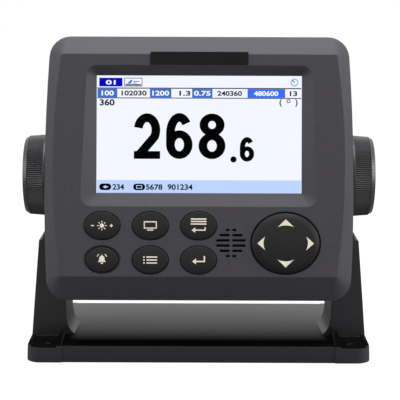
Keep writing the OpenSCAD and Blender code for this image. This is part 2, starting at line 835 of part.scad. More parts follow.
// Domed oval cap between two depths, with a rounded shoulder
module oval_cap(w, h, z0, top, shoulder, crown) {
    rings = 3;
    edge = [for (k = [0:rings]) let (q = 90 * k / rings)
                [shoulder * (1 - cos(q)), top - crown - shoulder + shoulder * sin(q)]];
    dome = [for (k = [1:rings]) let (s = 1 - k / (rings + 0.5)) [s, top - crown * s * s]];
    loft(concat([ellipse(w, h)], [for (e = edge) ellipse(w - 2 * e[0], h - 2 * e[0])],
                [for (d = dome) ellipse((w - 2 * shoulder) * d[0], (h - 2 * shoulder) * d[0])]),
         concat([z0], [for (e = edge) e[1]], [for (d = dome) d[1]]));
}

// Key: domed cap, flange behind the face and plunger over its switch
module key_cap(column, row) {
    share = key_share(column, row);
    w = key_w * share - 2 * key_gap;
    h = key_h * share - 2 * key_gap;
    sunk = share < 1 ? dish_depth / 2 : 0;
    color(key_grey) on_hinge() translate([key_col_x[column], key_row_y[row], 0]) {
        oval_cap(w, h, key_flange_z + key_flange_t - fit, face_z + key_proud - sunk, key_gap, key_proud / 2);
        ellipse_post(w + 2 * key_gap + 2 * key_flange, h + 2 * key_gap + 2 * key_flange,
                     key_flange_z, key_flange_z + key_flange_t);
        post(plunger_d, 0, 0, plunger_z, key_flange_z + fit);
    }
}

module brightness_key() { key_cap(0, 0); }
module display_key() { key_cap(1, 0); }
module menu_key() { key_cap(2, 0); }
module acknowledge_key() { key_cap(0, 1); }
module list_key() { key_cap(1, 1); }
module enter_key() { key_cap(2, 1); }

// Pad with a sloping rim and flat middle; four nubs below reach for its switches
module cursor_pad() {
    w = pad_w - 2 * pad_gap;
    h = pad_h - 2 * pad_gap;
    rim_z = face_z + pad_proud;
    top = rim_z + pad_rise;
    soft = 0.4;
    nub_low = switch_top_z + gasket_t;
    color(key_grey) on_hinge() translate([pad_x, pad_y, 0]) difference() {
        union() {
            loft([ellipse(w, h), ellipse(w, h), ellipse(w - soft, h - soft),
                  ellipse(w - 2 * soft, h - 2 * soft),
                  ellipse(w - 2 * pad_rim, h - 2 * pad_rim),
                  ellipse(w - 2 * pad_rim - 2 * soft, h - 2 * pad_rim - 2 * soft)],
                 [pad_flange_z + key_flange_t - fit, rim_z - soft, rim_z - soft / 4, rim_z,
                  top - soft / 4, top]);
            ellipse_post(pad_w + 2 * key_flange, pad_h + 2 * key_flange,
                         pad_flange_z, pad_flange_z + key_flange_t);
            for (side = [-1, 1]) {
                post(plunger_d, side * pad_w / 2 * nub_share, 0, nub_low, pad_flange_z + fit);
                post(plunger_d, 0, side * pad_h / 2 * nub_share, nub_low, pad_flange_z + fit);
            }
        }
        // Socket of the pivot's stem and cup on its ball
        post(pivot_stem_d + 4 * slide, 0, 0, nub_low - over, face_z - wall / 2);
        translate([0, 0, pivot_z])
            sphere(d = pivot_d + 2 * fit, $fn = 48);
    }
}

// Ball on the key board with the stem that the pad rocks on
module cursor_pivot() {
    color(steel) on_hinge() translate([pad_x, pad_y, pivot_z]) {
        sphere(d = pivot_d, $fn = 48);
        cylinder(d = pivot_stem_d, h = face_z - wall - pivot_z);
    }
}

module key_board() {
    corner = key_board_bosses[3];
    edge = key_boss_d / 2 + fit;
    color(board_green) on_hinge() difference() {
        union() {
            slab(key_col_x[0] - key_w / 2 - wall, corner.x + edge, key_row_y[1] - key_h / 2,
                 frame_bottom - wall, key_board_z, key_board_front);
            slab(frame_half + boss_room, corner.x + edge, key_row_y[0], corner.y + edge,
                 key_board_z, key_board_front);
        }
        for (p = key_board_bosses)
            post(screw_d + screw_room, p.x, p.y, key_board_z - over, key_board_front + over);
    }
}

// Dome switches under the keys and the pad
module key_switches() {
    reach_x = pad_w / 2 * nub_share;
    reach_y = pad_h / 2 * nub_share;
    pad_places = [[pad_x - reach_x, pad_y], [pad_x + reach_x, pad_y],
                  [pad_x, pad_y - reach_y], [pad_x, pad_y + reach_y]];
    key_places = [for (x = key_col_x, y = key_row_y) [x, y]];
    color(steel) on_hinge()
        for (p = concat(key_places, pad_places)) {
            post(switch_d, p.x, p.y, key_board_front, switch_top_z - switch_h / 3);
            post(switch_d * 0.6, p.x, p.y, key_board_front, switch_top_z);
        }
}

// Pan-headed screw driven along z, its head's underside at z0
module board_screw(p, z0, length) {
    post(screw_d - 2 * fit, p.x, p.y, z0, z0 + length);
    post(screw_head_d, p.x, p.y, z0 - screw_head_t, z0);
}

module key_board_screws() {
    color(steel) on_hinge()
        for (p = key_board_bosses) board_screw(p, key_board_z, board_t + wall);
}

module buzzer() {
    color(black) on_hinge() difference() {
        post(buzzer_d, buzzer_x, pad_y, key_board_front, face_back_z - membrane_t - fit);
        post(buzzer_d / 5, buzzer_x, pad_y, face_back_z - buzzer_d / 5, face_back_z);
    }
}

module buzzer_membrane() {
    color(black) on_hinge()
        post(buzzer_d + wall, buzzer_x, pad_y, face_back_z - membrane_t, face_back_z);
}

module name_plate() {
    color(black) on_hinge()
        slab(-plate_w / 2, plate_w / 2, plate_y, plate_y + plate_h, face_z + plate_proud - plate_t,
             face_z + plate_proud);
}

module main_board() {
    color(board_green) on_hinge() difference() {
        slab(-main_half, main_half, main_bottom, main_top, main_z, main_z + board_t);
        for (p = main_places) post(screw_d + screw_room, p.x, p.y, main_z - over, main_z + board_t + over);
    }
}

// Processor, memory, regulators and sockets on the back of the main board
module board_components() {
    // Across, up, width and height as shares of the board, and height as a share of its thickness
    component_shares = [[-0.35, 0.55, 0.28, 0.32, 1], [-0.05, 0.6, 0.2, 0.37, 0.75],
                        [0.3, 0.6, 0.24, 0.28, 1.5],
                        [0.55, 0.15, 0.16, 0.23, 2.5], [-0.6, 0.1, 0.18, 0.21, 3], [0.2, -0.3, 0.4, 0.12, 2]];
    color(black) on_hinge()
        for (c = component_shares)
            slab((c[0] - c[2] / 2) * main_half, (c[0] + c[2] / 2) * main_half,
                 (c[1] - c[3] / 2) * main_top, (c[1] + c[3] / 2) * main_top, main_z - c[4] * board_t, main_z);
}

module board_screws() {
    color(steel) on_hinge() {
        for (p = main_places) board_screw(p, main_z, board_t + main_gap / 2);
        for (p = holder_places) board_screw(p, holder_z, holder_t + 2 * wall);
    }
}

module power_board() {
    color(board_green) on_hinge() difference() {
        slab(-power_half, power_half, power_bottom, power_top, power_z, power_z + board_t);
        for (p = power_places) post(screw_d + screw_room, p.x, p.y, power_z - over, power_z + board_t + over);
    }
}

module power_board_screws() {
    color(steel) on_hinge()
        for (p = power_places) {
            post(screw_d - 2 * fit, p.x, p.y, power_z - wall, power_z + board_t);
            post(screw_head_d, p.x, p.y, power_z + board_t, power_z + board_t + screw_head_t);
        }
}

// Threaded socket shell with a flange outside the back wall and a neck through it
module connector_shell(x) {
    color(steel) on_hinge() translate([x, -shell_drop, 0]) difference() {
        union() {
            post(shell_d, 0, 0, shell_end_z, shell_flange_z);
            post(shell_d + flange_extra, 0, 0, shell_flange_z - shell_flange_t, shell_flange_z);
            post(neck_d, 0, 0, shell_flange_z - fit, neck_end_z);
        }
        post(shell_bore, 0, 0, shell_end_z - over, contacts_z);
        post(neck_d - 2 * socket_wall, 0, 0, contacts_z - over, neck_end_z + over);
        // Key slot of the plug
        slab(-socket_wall / 2, socket_wall / 2, 0, (shell_bore + shell_d) / 4,
             shell_end_z - over, contacts_z);
    }
}

// Insulator in the shell with pins towards the plug and tails towards the power board
module connector_contacts(x, pins, ring_share) {
    core_d = neck_d - 2 * socket_wall - 2 * fit;
    ring_r = core_d / 2 * ring_share;
    color(black) on_hinge() translate([x, -shell_drop, 0]) {
        post(core_d, 0, 0, contacts_z - fit, neck_end_z);
        for (i = [0:pins - 1])
            rotate([0, 0, 360 * i / pins])
                post(pin_d, ring_r, 0, contacts_z - pin_out, power_z);
    }
}

module power_connector() { connector_shell(-shell_pitch / 2); }
module power_contacts() { connector_contacts(-shell_pitch / 2, 7, 0.7); }
module antenna_connector() { connector_shell(shell_pitch / 2); }
module antenna_contacts() { connector_contacts(shell_pitch / 2, 6, 0.65); }

// Hexagon nuts inside the back wall
module connector_nuts() {
    color(steel) on_hinge()
        for (x = [-shell_pitch / 2, shell_pitch / 2])
            translate([x, -shell_drop, back_in_z]) difference() {
                rotate([0, 0, 30])
                    cylinder(d = neck_d + 2 * flange_extra, h = nut_t, $fn = 6);
                post(neck_d + 2 * fit, 0, 0, -over, nut_t + over);
            }
}

module connector_seals() {
    color(black) on_hinge()
        for (x = [-shell_pitch / 2, shell_pitch / 2]) difference() {
            post(shell_d + flange_extra / 2, x, -shell_drop, shell_flange_z, back_z);
            post(neck_d + 2 * fit, x, -shell_drop, shell_flange_z - over, back_z + over);
        }
}

// Earth stud between the connectors, headed inside
module ground_stud() {
    color(brass) on_hinge() {
        post(stud_d, 0, -shell_drop, back_z - stud_out, back_z - washer_t - stud_nut_t);
        post(stud_shank_d, 0, -shell_drop, back_z - washer_t - stud_nut_t - fit, back_in_z + fit);
        translate([0, -shell_drop, back_in_z])
            cylinder(d = stud_d * 1.8, h = stud_d * 0.6, $fn = 6);
    }
}

module ground_nut() {
    color(brass) on_hinge() translate([0, -shell_drop, 0]) difference() {
        union() {
            post(stud_d * 2.2, 0, 0, back_z - washer_t, back_z);
            translate([0, 0, back_z - washer_t - stud_nut_t])
                cylinder(d = stud_d * 1.9, h = stud_nut_t, $fn = 6);
        }
        post(stud_shank_d + 2 * fit, 0, 0, back_z - stud_out, back_z + over);
    }
}

// Screws through the rear housing's flange
module rear_screws() {
    color(steel) on_hinge()
        for (p = screw_places) {
            post(rear_screw_d, p.x, p.y, rear_z - fit, band_z - wall - over);
            difference() {
                post(rear_head_d, p.x, p.y, rear_z - rear_head_t, rear_z);
                translate([p.x, p.y, rear_z - rear_head_t - over])
                    cylinder(d = rear_head_d / 2, h = rear_head_t / 2 + over, $fn = 6);
            }
        }
}

module screw_inserts() {
    color(brass) on_hinge()
        for (p = screw_places) difference() {
            post(insert_d, p.x, p.y, ledge_z, band_z - wall - 2 * fit);
            post(rear_screw_d + 2 * fit, p.x, p.y, ledge_z - over, band_z);
        }
}

// Threaded insert of a knob bolt
module knob_insert(side) {
    color(brass) on_hinge() sided(side)
        axle_tube(bolt_d + 2 * insert_wall_t, bolt_d + 2 * fit, insert_x, boss_x);
}
module knob_insert_left() { knob_insert(-1); }
module knob_insert_right() { knob_insert(1); }

module friction_washer(side) {
    color(black) on_hinge() sided(side)
        axle_tube(boss_d, bolt_d + 4 * slide, boss_x, boss_x + friction_t);
}
module friction_washer_left() { friction_washer(-1); }
module friction_washer_right() { friction_washer(1); }

module knob_washer(side) {
    color(steel) on_hinge() sided(side)
        axle_tube(bolt_d * 2.6, bolt_d + 2 * slide, washer_x, knob_x);
}
module knob_washer_left() { knob_washer(-1); }
module knob_washer_right() { knob_washer(1); }

module knob_bolt(side) {
    color(steel) on_hinge() sided(side) {
        axle(bolt_d, insert_x + fit, knob_x + fit);
        translate([knob_x, 0, 0])
            rotate([0, 90, 0])
                cylinder(d = bolt_head_d, h = bolt_head_t, $fn = 6);
    }
}
module knob_bolt_left() { knob_bolt(-1); }
module knob_bolt_right() { knob_bolt(1); }

// Outline of the ribbed band at a crest radius
function rib_outline(crest) =
    [for (i = [0:2 * rib_count - 1]) let (q = 180 * i / rib_count)
        (crest - (i % 2) * rib_depth) * [cos(q), sin(q)]];

// Hand knob: fine ribs between a plain inner rim and a plain chamfered end, both a little proud
module knob(side) {
    tip_r = knob_r - knob_draft;
    end_x = knob_end_x - knob_chamfer_x;
    color(charcoal) on_hinge() sided(side) difference() {
        union() {
            axle(knob_d, knob_x, knob_x + knob_rim);
            rotate([0, 90, 0])
                loft([rib_outline(knob_r - rib_step), rib_outline(tip_r - rib_step)],
                     [knob_x + knob_rim / 2, end_x + fit]);
            rotate([0, 90, 0])
                rotate_extrude($fn = 180)
                    polygon([[0, end_x], [tip_r, end_x], [tip_r - knob_chamfer_r, knob_end_x],
                             [0, knob_end_x]]);
        }
        rotate([0, 90, 0])
            rotate_extrude($fn = 96)
                polygon([[0, knob_end_x - knob_dish], [knob_dish_r - knob_dish, knob_end_x - knob_dish],
                         [knob_dish_r + over, knob_end_x + over], [0, knob_end_x + over]]);
        translate([knob_x - over, 0, 0])
            rotate([0, 90, 0])
                cylinder(d = bolt_head_d + 2 * fit, h = bolt_head_t + fit + over, $fn = 6);
    }
}
module knob_left() { knob(-1); }
module knob_right() { knob(1); }

// Front view of the right arm between two heights, with the concave fillet at its root
function arm_outline(inner) =
    concat([[base_half, 0], [shoulder_out, shoulder_z], [upper_out, shoulder_z + side_gap / 2],
            [arm_out, slope_z], [arm_out, hinge_z + head_r + over], [arm_in, hinge_z + head_r + over],
            [arm_in, neck_high_z], [inner, neck_low_z]],
           [for (i = [0:corner_steps]) let (q = 90 - 90 * i / corner_steps)
                [inner - root_fillet_w + root_fillet_w * sin(q),
                 base_t + root_fillet_h - root_fillet_h * cos(q)]],
           [[inner - root_fillet_w, 0]]);

// Side view of an arm: leaning front with a bend near the foot, and a rounded head
function arm_side() =
    let (top = hinge_z + head_rise, r = head_corner_r)
    concat([[arm_rear_y, 0], [arm_rear_y, base_t]],
           [for (i = [0:corner_steps]) let (q = 90 * i / corner_steps)
                [hinge_y + head_r - r + r * cos(q), top - r + r * sin(q)]],
           [for (i = [0:corner_steps]) let (q = 90 + 90 * i / corner_steps)
                [hinge_y - head_r + r + r * cos(q), top - r + r * sin(q)]],
           [[hinge_y - head_r, shoulder_z], [arm_front_y, base_t + bend_rise], [arm_front_y, 0]]);

module arm() {
    difference() {
        intersection() {
            rotate([90, 0, 0])
                loft([arm_outline(lower_in), arm_outline(lower_in + arm_turn)],
                     [-arm_rear_y - head_r, -arm_front_y]);
            rotate([90, 0, 90])
                linear_extrude(base_half)
                    polygon(arm_side());
        }
        // Slot that the knob's bolt drops into
        translate([0, hinge_y, hinge_z]) {
            axle(slot_w, 0, base_half);
            slab(0, base_half, -slot_w / 2, slot_w / 2, 0, head_rise + over);
            rotate([90, 0, 90])
                linear_extrude(base_half)
                    polygon([[-slot_w / 2 - slot_lead - over, head_rise + over],
                             [slot_w / 2 + slot_lead + over, head_rise + over],
                             [slot_w / 2, head_rise - slot_lead], [-slot_w / 2, head_rise - slot_lead]]);
        }
    }
}

// Plan of the base, its feet a little proud of the deck at both ends
module base_plan() {
    for (x = [base_r - base_half, base_half - base_r], y = [base_r - base_d / 2, base_d / 2 - base_r])
        translate([x, y])
            circle(r = base_r);
    translate([-base_half, base_r - base_d / 2])
        square([2 * base_half, base_d - 2 * base_r]);
    for (x = [-base_half + base_r, foot_x])
        translate([x, -base_d / 2])
            square([base_half - base_r - foot_x, base_d]);
    translate([-foot_x, foot_proud - base_d / 2])
        square([2 * foot_x, base_d - 2 * foot_proud]);
}

module base() {
    slope = (base_half - shoulder_out) / shoulder_z * base_t;
    intersection() {
        linear_extrude(base_t)
            base_plan();
        rotate([90, 0, 0])
            linear_extrude(2 * base_d, center = true)
                polygon([[-base_half, 0], [base_half, 0],
                         [base_half - slope, base_t], [slope - base_half, base_t]]);
    }
}

// Rib between a foot's pocket and the deck, falling towards the front
module fin() {
    front_y = foot_proud - base_d / 2;
    translate([fin_x, 0, 0])
        rotate([90, 0, 90])
            linear_extrude(fin_w)
                polygon([[arm_front_y + over, base_t - over], [arm_front_y + over, base_t + fin_h],
                         [arm_front_y - fin_w / 2, base_t + fin_h],
                         [arm_front_y - fin_w, base_t + fin_h - fin_w / 4],
                         [front_y, base_t], [front_y, base_t - over]]);
}

// Cells under the base that leave walls, ribs and solid ground at the feet
module base_cores() {
    pitch_x = 2 * (foot_x - core_wall) / core_columns;
    pitch_y = (base_d - 2 * foot_proud - 2 * core_wall + core_rib) / core_rows;
    for (i = [0:core_columns - 1], j = [0:core_rows - 1])
        translate([(i - core_columns / 2) * pitch_x + core_rib / 2,
                   (j - core_rows / 2) * pitch_y + core_rib / 2, -over])
            cube([pitch_x - core_rib, pitch_y - core_rib, base_t - core_roof + over]);
}

module bracket() {
    color(dark) difference() {
        union() {
            base();
            for (side = [-1, 1]) sided(side) {
                arm();
                fin();
            }
        }
        for (side = [-1, 1]) sided(side) {
            slab(fin_x + fin_w, base_half - pocket_rim - side_gap, -base_d, arm_front_y, base_t - pocket_drop,
                 base_t + over);
            for (y = [-hole_y, hole_y]) post(hole_d, hole_x, y, -over, base_t + over);
        }
        base_cores();
    }
}

bracket();
front_bezel();
rear_housing();
housing_seal();
display_window();
window_gasket();
cell_gasket();
lcd_cell();
backlight();
lcd_frame();
lcd_holder();
lcd_ribbon();
key_sheet();
brightness_key();
display_key();
menu_key();
acknowledge_key();
list_key();
enter_key();
cursor_pad();
cursor_pivot();
key_board();
key_switches();
key_board_screws();
key_ribbon();
buzzer();
buzzer_membrane();
name_plate();
main_board();
board_components();
board_screws();
power_board();
power_board_screws();
main_ribbon();
power_connector();
power_contacts();
antenna_connector();
antenna_contacts();
connector_nuts();
connector_seals();
ground_stud();
ground_nut();
rear_screws();
screw_inserts();
knob_insert_left();
knob_insert_right();
friction_washer_left();
friction_washer_right();
knob_washer_left();
knob_washer_right();
knob_bolt_left();
knob_bolt_right();
knob_left();
knob_right();
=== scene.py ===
"""Looks of a satellite compass display unit on its tilting table bracket.

Lengths are in metres. Places on the display are face coordinates in millimetres: x to the right,
y up the face and z out of the face, with zero on the hinge axis, and on_face() takes them to the frame.
"""

import json
import math

import bmesh
import bpy
from mathutils import Matrix, Vector
from mathutils.bvhtree import BVHTree
from mathutils.geometry import tessellate_polygon


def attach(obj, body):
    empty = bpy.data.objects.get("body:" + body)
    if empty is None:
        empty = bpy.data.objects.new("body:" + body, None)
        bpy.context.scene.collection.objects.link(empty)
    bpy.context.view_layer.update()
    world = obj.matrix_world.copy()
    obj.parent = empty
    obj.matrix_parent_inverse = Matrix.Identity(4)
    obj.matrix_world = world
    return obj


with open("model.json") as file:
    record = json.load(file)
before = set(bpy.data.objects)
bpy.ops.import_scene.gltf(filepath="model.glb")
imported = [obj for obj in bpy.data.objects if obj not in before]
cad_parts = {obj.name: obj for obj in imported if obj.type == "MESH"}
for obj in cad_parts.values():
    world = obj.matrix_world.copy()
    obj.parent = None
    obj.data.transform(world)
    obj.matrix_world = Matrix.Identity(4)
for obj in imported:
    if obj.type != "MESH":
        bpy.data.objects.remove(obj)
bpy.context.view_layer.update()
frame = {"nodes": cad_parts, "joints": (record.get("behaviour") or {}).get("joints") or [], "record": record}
nodes = frame["nodes"]

MM = 0.001

# Frame of the display

LEAN = math.radians(10)
HINGE = Vector(next(j["pos_m"] for j in frame["joints"] if j["name"] == "tilt"))
RIGHT = Vector((1, 0, 0))
UP = Vector((0, math.sin(LEAN), math.cos(LEAN)))
OUT = Vector((0, -math.cos(LEAN), math.sin(LEAN)))
TO_FRAME = Matrix.Translation(HINGE) @ Matrix((RIGHT, UP, OUT)).transposed().to_4x4()


def on_face(x, y, z):
    return TO_FRAME @ (Vector((x, y, z)) * MM)


# Places on the display that the prints, the screen's picture and the threads follow, in millimetres

CELL_FRONT_Z = 30.9
SCREEN_W = 95.0
SCREEN_TOP = 45.5
KEY_X = (-44.5, -22.3, -0.1)
KEY_Y = (-24.0, -39.7)
PAD_X = 39.9
PAD_Y = -31.85
SOCKET_X = 17.0
SOCKET_Y = -26.0


def linear(r, g, b):
    """Scene-linear colour of an sRGB colour given from 0 to 255."""
    def one(c):
        c = c / 255
        return c / 12.92 if c <= 0.04045 else ((c + 0.055) / 1.055) ** 2.4
    return (one(r), one(g), one(b), 1.0)


# Materials

class Shader:
    """A node material with its principled shader, built up by the functions below."""

    NOISE_MIDDLE = (0.3, 0.7)

    def __init__(self, name, colour, roughness, metallic=0.0, specular=0.5):
        self.mat = bpy.data.materials.new(name)
        self.mat.use_nodes = True
        self.tree = self.mat.node_tree
        self.bsdf = self.tree.nodes["Principled BSDF"]
        self.bsdf.inputs["Base Color"].default_value = colour
        self.bsdf.inputs["Roughness"].default_value = roughness
        self.bsdf.inputs["Metallic"].default_value = metallic
        self.bsdf.inputs["Specular IOR Level"].default_value = specular
        self.colour = colour
        self.place = self.node("ShaderNodeTexCoord").outputs["Object"]

    def node(self, kind, **values):
        made = self.tree.nodes.new(kind)
        for key, value in values.items():
            setattr(made, key, value)
        return made

    def link(self, a, b):
        self.tree.links.new(a, b)

    def noise(self, size, detail=3.0, stretch=None):
        """Noise whose grains are about that size in metres, finer along the axes that are stretched."""
        made = self.node("ShaderNodeTexNoise")
        made.inputs["Scale"].default_value = 1 / size
        made.inputs["Detail"].default_value = detail
        if stretch:
            mapping = self.node("ShaderNodeMapping")
            mapping.inputs["Scale"].default_value = stretch
            self.link(self.place, mapping.inputs["Vector"])
            self.link(mapping.outputs["Vector"], made.inputs["Vector"])
        else:
            self.link(self.place, made.inputs["Vector"])
        return made.outputs["Fac"]

    def ranged(self, value, low, high):
        """Takes the middle of a noise to the range from low to high."""
        made = self.node("ShaderNodeMapRange")
        made.inputs["From Min"].default_value, made.inputs["From Max"].default_value = self.NOISE_MIDDLE
        made.inputs["To Min"].default_value = low
        made.inputs["To Max"].default_value = high
        self.link(value, made.inputs["Value"])
        return made.outputs["Result"]

    def mottle(self, size, share):
        """Varies the colour a little, lighter and darker, in patches of that size."""
        mix = self.node("ShaderNodeMix", data_type="RGBA")
        mix.inputs["A"].default_value = tuple(c * (1 - share) for c in self.colour[:3]) + (1,)
        mix.inputs["B"].default_value = tuple(min(1, c * (1 + share)) for c in self.colour[:3]) + (1,)
        self.link(self.ranged(self.noise(size), 0, 1), mix.inputs["Factor"])
        self.link(mix.outputs["Result"], self.bsdf.inputs["Base Color"])
        return self

    def gloss(self, size, low, high, stretch=None):
        self.link(self.ranged(self.noise(size, stretch=stretch), low, high), self.bsdf.inputs["Roughness"])
        return self

    def grain(self, size, depth, round_edges=0.0, stretch=None):
        """Relief of that grain size and depth, over edges that look rounded to that radius."""
        bump = self.node("ShaderNodeBump")
        bump.inputs["Distance"].default_value = depth
        bump.inputs["Strength"].default_value = 1.0
        self.link(self.noise(size, 2.0, stretch), bump.inputs["Height"])
        if round_edges:
            bevel = self.node("ShaderNodeBevel", samples=4)
            bevel.inputs["Radius"].default_value = round_edges
            self.link(bevel.outputs["Normal"], bump.inputs["Normal"])
        self.link(bump.outputs["Normal"], self.bsdf.inputs["Normal"])
        return self

    def glow(self, colour, strength):
        self.bsdf.inputs["Emission Color"].default_value = colour
        self.bsdf.inputs["Emission Strength"].default_value = strength
        return self


SPARK_PATCH = 0.9 * MM


def spark_plastic(name, colour, roughness, specular, grain, depth, soft):
    """Moulded plastic with a spark-eroded texture."""
    made = Shader(name, colour, roughness, specular=specular)
    made.mottle(SPARK_PATCH, 0.13).gloss(SPARK_PATCH, roughness - 0.05, roughness + 0.06)
    return made.grain(grain, depth, soft).mat


def smooth_plastic(name, colour, roughness, specular=0.5, soft=0.15 * MM):
    made = Shader(name, colour, roughness, specular=specular)
    made.mottle(4 * MM, 0.04).gloss(1.5 * MM, roughness - 0.03, roughness + 0.04)
    return made.grain(0.5 * MM, 0.004 * MM, soft).mat


def turned_metal(name, colour, roughness, axis_stretch):
    """Machined metal with fine tool marks along the stretched axis."""
    made = Shader(name, colour, roughness, metallic=1.0)
    made.mottle(3 * MM, 0.06).gloss(1.2 * MM, roughness - 0.06, roughness + 0.08, axis_stretch)
    return made.grain(0.3 * MM, 0.006 * MM, 0.12 * MM, axis_stretch).mat


def lit(name, colour, strength=1.0):
    """Dots of the screen that give light themselves."""
    made = Shader(name, (0, 0, 0, 1), 0.5, specular=0.0)
    made.glow(colour, strength)
    glow = made.node("ShaderNodeMix", data_type="RGBA")
    glow.inputs["A"].default_value = colour
    glow.inputs["B"].default_value = tuple(c * 0.985 for c in colour[:3]) + (1,)
    made.link(made.ranged(made.noise(18 * MM), 0, 1), glow.inputs["Factor"])
    made.link(glow.outputs["Result"], made.bsdf.inputs["Emission Color"])
    return made.mat


CHARCOAL = linear(62, 60, 66)
housing = spark_plastic("housing_plastic", CHARCOAL, 0.55, 0.28, 0.45 * MM, 0.05 * MM, 0.4 * MM)


# Painted shade on the deck below the display, where the display's shadow and dark reflection fall: darkest
# from its front edge to the first of these depths, and at full colour from the second
DECK_PAINTED_SHADE_DARKEST_Y = -32 * MM
DECK_PAINTED_SHADE_END_Y = 52 * MM
DECK_FACING = (0.9, 0.97)
DECK_PAINTED_SHADE_SHARE = 0.2


def plastic_with_painted_deck_shade(name, colour, roughness, specular):
    """Moulded plastic with painted shade: its upward faces get darker in colour and in reflection towards the
    front, below the display, where the display's shadow and dark reflection fall.
    """
    made = Shader(name, colour, roughness, specular=specular)
    made.mottle(SPARK_PATCH, 0.1).gloss(SPARK_PATCH, roughness - 0.05, roughness + 0.06)
    made.grain(0.35 * MM, 0.012 * MM, 0.5 * MM)
    axes = made.node("ShaderNodeSeparateXYZ")
    made.link(made.place, axes.inputs[0])
    facing = made.node("ShaderNodeSeparateXYZ")
    made.link(made.place.node.outputs["Normal"], facing.inputs[0])
    # Painted shade: the share of unshaded colour along the deck, none at the front and all towards the rear
    painted_shade_lift_to_rear = made.node("ShaderNodeMapRange", interpolation_type="SMOOTHSTEP")
    painted_shade_lift_to_rear.inputs["From Min"].default_value = DECK_PAINTED_SHADE_DARKEST_Y
    painted_shade_lift_to_rear.inputs["From Max"].default_value = DECK_PAINTED_SHADE_END_Y
    made.link(axes.outputs["Y"], painted_shade_lift_to_rear.inputs["Value"])
    level = made.node("ShaderNodeMapRange")
    level.inputs["From Min"].default_value, level.inputs["From Max"].default_value = DECK_FACING
    level.inputs["To Min"].default_value = 1.0
    level.inputs["To Max"].default_value = 0.0
    made.link(facing.outputs["Z"], level.inputs["Value"])
    share = made.node("ShaderNodeMath", operation="MAXIMUM")
    made.link(painted_shade_lift_to_rear.outputs["Result"], share.inputs[0])
    made.link(level.outputs["Result"], share.inputs[1])
    # Painted shade on the reflection: the specular level falls with that share
    shine_under_painted_shade = made.node("ShaderNodeMath", operation="MULTIPLY")
    shine_under_painted_shade.inputs[1].default_value = specular
    made.link(share.outputs["Value"], shine_under_painted_shade.inputs[0])
    made.link(shine_under_painted_shade.outputs["Value"], made.bsdf.inputs["Specular IOR Level"])
    # Painted shade on the colour: the base colour darkens with that share
    shade = made.node("ShaderNodeMix", data_type="RGBA")
    shade.inputs["A"].default_value = tuple(c * DECK_PAINTED_SHADE_SHARE for c in colour[:3]) + (1,)
    made.link(share.outputs["Value"], shade.inputs["Factor"])
    made.link(made.bsdf.inputs["Base Color"].links[0].from_socket, shade.inputs["B"])
    made.link(shade.outputs["Result"], made.bsdf.inputs["Base Color"])
    return made.mat


# The bracket's plastic, with painted shade on its deck below the display
bracket_plastic = plastic_with_painted_deck_shade("bracket_plastic", linear(48, 47, 50), 0.36, 0.26)
knob_plastic = spark_plastic("knob_plastic", linear(50, 49, 52), 0.38, 0.45, 0.3 * MM, 0.01 * MM, 0.12 * MM)
key_plastic = spark_plastic("key_plastic", linear(25, 25, 26), 0.42, 0.2, 0.25 * MM, 0.008 * MM, 0.12 * MM)
gloss_black = smooth_plastic("gloss_black", linear(16, 15, 15), 0.3, 0.1)
black_plastic = smooth_plastic("black_plastic", linear(32, 32, 33), 0.45)
white_plastic = smooth_plastic("white_plastic", linear(225, 224, 220), 0.5)
rubber = smooth_plastic("black_rubber", linear(28, 28, 28), 0.8, 0.3, 0.2 * MM)
board = smooth_plastic("circuit_board", linear(24, 78, 52), 0.35)
film = smooth_plastic("ribbon_film", linear(190, 130, 60), 0.3)
steel = turned_metal("plated_steel", (0.62, 0.62, 0.63, 1), 0.3, (1, 1, 6))
stainless = turned_metal("stainless_steel", (0.6, 0.6, 0.61, 1), 0.28, (1, 6, 6))
brass = turned_metal("brass", (0.72, 0.52, 0.22, 1), 0.3, (1, 1, 6))
cream = smooth_plastic("cream_print", linear(243, 233, 214), 0.5, 0.3, 0.0)

SCREEN_WHITE = linear(239, 242, 255)
screen_white = lit("screen_white", SCREEN_WHITE, 1.14)
screen_pale = lit("screen_pale", linear(246, 248, 252), 1.14)
screen_bar = lit("screen_bar", linear(186, 209, 255), 1.15)
screen_blue = lit("screen_blue", linear(62, 112, 218), 1.05)
screen_deep = lit("screen_deep", linear(4, 6, 196), 1.05)
screen_ink = lit("screen_ink", (0.0002, 0.0002, 0.0003, 1), 1.0)
screen_line = lit("screen_line", linear(70, 74, 92), 1.0)


def glass():
    made = Shader("window_glass", (0.004, 0.004, 0.005, 1), 0.12, specular=0.15)
    made.bsdf.inputs["Alpha"].default_value = 0.04
    made.gloss(6 * MM, 0.09, 0.15)
    return made.grain(1.2 * MM, 0.002 * MM).mat


window_glass = glass()

SLOT_MATERIALS = {
    "bracket_plastic": bracket_plastic, "housing_plastic": housing, "knob_plastic": knob_plastic,
    "key_plastic": key_plastic, "black_plastic": black_plastic, "white_plastic": white_plastic,
    "black_rubber": rubber, "gloss_black": gloss_black, "window_glass": window_glass, "board": board,
    "ribbon_film": film, "plated_steel": steel, "stainless_steel": stainless, "brass": brass,
    "lit_screen": screen_white,
}


# Shading of the CAD nodes: smooth over small angles, crisp at real edges

